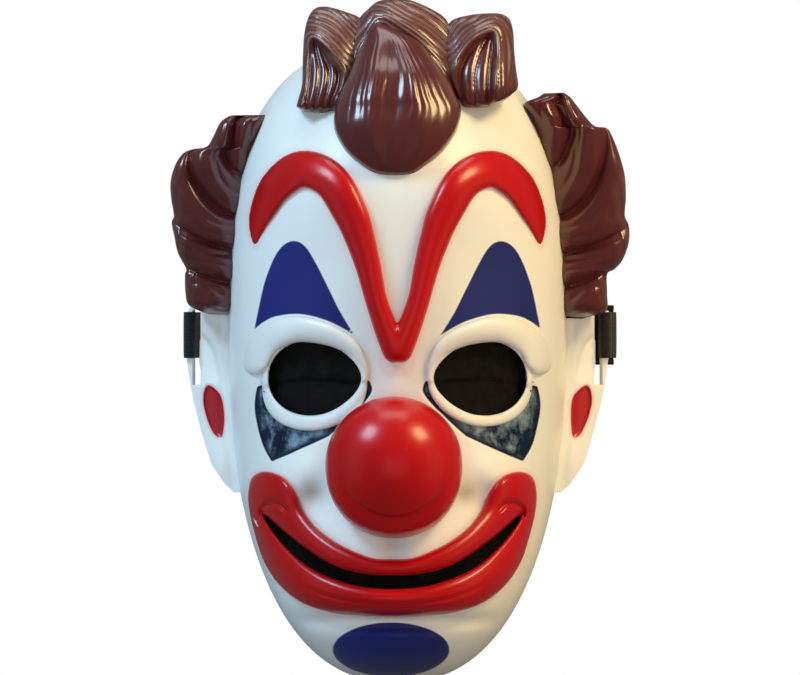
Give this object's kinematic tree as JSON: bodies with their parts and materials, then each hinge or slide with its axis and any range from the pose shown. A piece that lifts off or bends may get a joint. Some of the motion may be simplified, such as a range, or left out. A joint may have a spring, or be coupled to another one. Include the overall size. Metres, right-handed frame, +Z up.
{
  "type": "clown face mask",
  "caption": "Moulded clown face mask with raised hair, ball nose, painted smile, mesh-backed eye and mouth openings, and an elastic head strap with a slider.",
  "frame": {"origin": "midway between the two vertical ear bars, on the line the strap swings about; a wearer's head comes in there", "axes": "-Y the way the face looks, +Z up towards the crown, +X to the right of somebody who faces the mask"},
  "size_m": [0.1985, 0.2479, 0.2954],
  "materials": {
    "white_latex": "satin white paint on latex, with flat blue, red and dark paint patches",
    "hair_latex": "gloss reddish brown paint on latex",
    "red_latex": "semi-gloss red paint on latex",
    "black_mesh": "knitted polyester mesh",
    "glue": "hot-melt glue",
    "elastic": "ribbed woven elastic",
    "slider_plastic": "moulded black plastic",
    "thread": "black sewing thread"
  },
  "bodies": {
    "mask": {"face_shell": "white_latex", "hair_top_centre": "hair_latex", "hair_top_left": "hair_latex", "hair_top_right": "hair_latex", "hair_side_left": "hair_latex", "hair_side_right": "hair_latex", "nose": "red_latex", "brow_ridge": "red_latex", "upper_lip": "red_latex", "lower_lip": "red_latex", "eyelid_left": "white_latex", "eyelid_right": "white_latex", "eye_mesh_left": "black_mesh", "eye_mesh_right": "black_mesh", "mouth_mesh": "black_mesh", "mesh_glue_dots": "glue", "ear_loop_left": "elastic", "ear_loop_right": "elastic", "bar_tack_left": "thread"},
    "strap": {"strap_band": "elastic", "strap_return": "elastic"},
    "slider": {"strap_slider": "slider_plastic", "slider_loop": "elastic", "bar_tack_right": "thread"}
  },
  "joints": [
    {"name": "strap_lift", "type": "hinge", "parent": "mask", "child": "strap", "pos_m": [0, 0, 0], "axis": [1, 0, 0], "range_deg": [-40, 65]},
    {"name": "slider_slide", "type": "slide", "parent": "strap", "child": "slider", "axis": [0, 1, 0], "range_m": [-0.02, 0], "deforming": ["strap_return"]}
  ]
}
